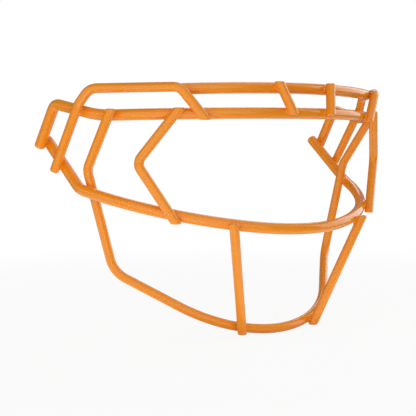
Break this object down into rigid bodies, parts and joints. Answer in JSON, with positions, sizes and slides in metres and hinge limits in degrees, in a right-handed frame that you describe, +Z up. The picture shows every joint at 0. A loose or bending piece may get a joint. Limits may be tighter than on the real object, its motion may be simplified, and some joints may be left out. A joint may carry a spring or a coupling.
{
  "type": "football helmet facemask",
  "caption": "Welded wire guard for the front of a football helmet, with brow bars, an open eye and mouth area, temple loops, cheek vees and chin struts.",
  "frame": {"origin": "on the floor under the guard as worn, midway across and midway from front to back", "axes": "+X towards the wearer's left, -Y forward, away from the face, +Z up"},
  "size_m": [0.2288, 0.12, 0.1457],
  "materials": {
    "coated_wire": "glossy orange dip or powder coat over steel wire",
    "coated_weld": "glossy orange coat over smooth weld metal"
  },
  "bodies": {
    "root": {"upper_brow_bar": "coated_wire", "lower_brow_bar": "coated_wire", "mid_bar": "coated_wire", "jaw_bar": "coated_wire", "temple_loop_right": "coated_wire", "temple_loop_left": "coated_wire", "cheek_vee_right": "coated_wire", "cheek_vee_left": "coated_wire", "brow_strut_right": "coated_wire", "brow_strut_left": "coated_wire", "chin_strut_right": "coated_wire", "chin_strut_left": "coated_wire", "temple_leg_weld_right": "coated_weld", "temple_leg_weld_left": "coated_weld", "jaw_bar_welds_right": "coated_weld", "jaw_bar_welds_left": "coated_weld", "temple_loop_welds_right": "coated_weld", "temple_loop_welds_left": "coated_weld", "cheek_vee_welds_right": "coated_weld", "cheek_vee_welds_left": "coated_weld", "brow_strut_welds_right": "coated_weld", "brow_strut_welds_left": "coated_weld", "chin_strut_welds_right": "coated_weld", "chin_strut_welds_left": "coated_weld"}
  },
  "joints": []
}
